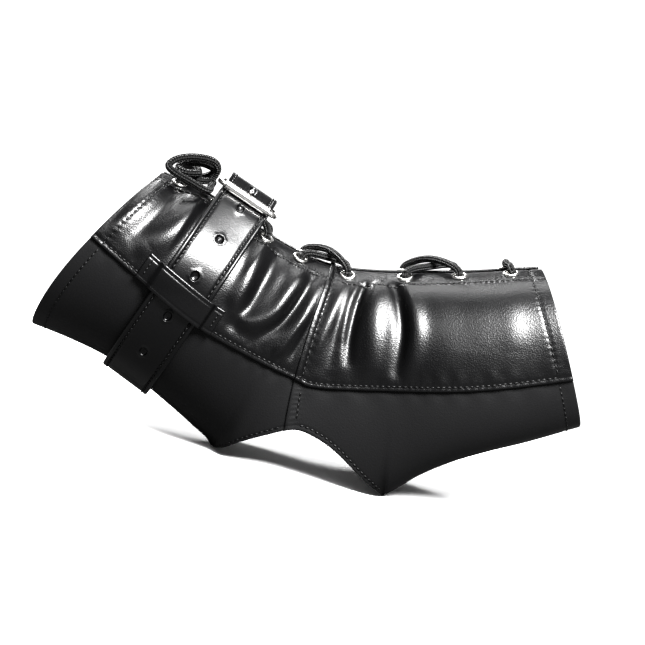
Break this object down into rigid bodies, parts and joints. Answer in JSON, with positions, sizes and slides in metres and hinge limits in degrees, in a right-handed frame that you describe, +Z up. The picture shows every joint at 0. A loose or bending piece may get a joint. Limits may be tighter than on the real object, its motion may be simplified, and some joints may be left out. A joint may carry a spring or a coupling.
{
  "type": "boxing boot",
  "caption": "Open-toe, open-heel black leather ankle boot, laced through eyelets down the front, with a tongue, a buckled ankle strap and side belt loops.",
  "frame": {"origin": "middle of the boot's box, lace left out, at the surface it lies on", "axes": "+Z up, +X towards the toe opening, the side with the single strap layer at -Y"},
  "size_m": [0.3148, 0.1144, 0.1618],
  "materials": {
    "upper_leather": "glossy black grained leather",
    "lower_leather": "matte black leather",
    "facing_leather": "matte black leather, inner strip",
    "strap_leather": "smooth semi-gloss black strap leather",
    "tongue_leather": "soft matte black leather",
    "nickel": "bright nickel plate",
    "lace_cord": "black round braid",
    "aglet_plastic": "black shrink-film tip"
  },
  "bodies": {
    "boot": {"shin_panel_near": "upper_leather", "shin_panel_far": "upper_leather", "foot_panel_near": "upper_leather", "foot_panel_far": "upper_leather", "heel_panel": "lower_leather", "sole_panel": "lower_leather", "facing_near": "facing_leather", "facing_far": "facing_leather", "tongue": "tongue_leather", "ankle_strap": "strap_leather", "belt_loop_near": "strap_leather", "belt_loop_far": "strap_leather", "eyelet_near_1": "nickel", "eyelet_near_2": "nickel", "eyelet_near_3": "nickel", "eyelet_near_4": "nickel", "eyelet_near_5": "nickel", "eyelet_near_6": "nickel", "eyelet_near_7": "nickel", "eyelet_near_8": "nickel", "eyelet_far_1": "nickel", "eyelet_far_2": "nickel", "eyelet_far_3": "nickel", "eyelet_far_4": "nickel", "eyelet_far_5": "nickel", "eyelet_far_6": "nickel", "eyelet_far_7": "nickel", "eyelet_far_8": "nickel", "lace": "lace_cord", "aglet_1": "aglet_plastic", "aglet_2": "aglet_plastic"},
    "buckle": {"buckle_frame": "nickel"},
    "roller": {"buckle_roller": "nickel"},
    "prong": {"buckle_prong": "nickel"}
  },
  "joints": [
    {"name": "buckle_pivot", "type": "hinge", "parent": "boot", "child": "buckle", "pos_m": [-0.0553, 0.01186, 0.14354], "axis": [-0.9399, 0, 0.3413], "range_deg": [0, 10]},
    {"name": "roller_spin", "type": "hinge", "parent": "buckle", "child": "roller", "pos_m": [-0.0553, -0.01414, 0.14354], "axis": [-0.9399, 0, 0.3413], "continuous": true},
    {"name": "prong_pivot", "type": "hinge", "parent": "buckle", "child": "prong", "pos_m": [-0.0553, 0.01186, 0.14354], "axis": [-0.9399, 0, 0.3413], "range_deg": [0, 12]}
  ]
}
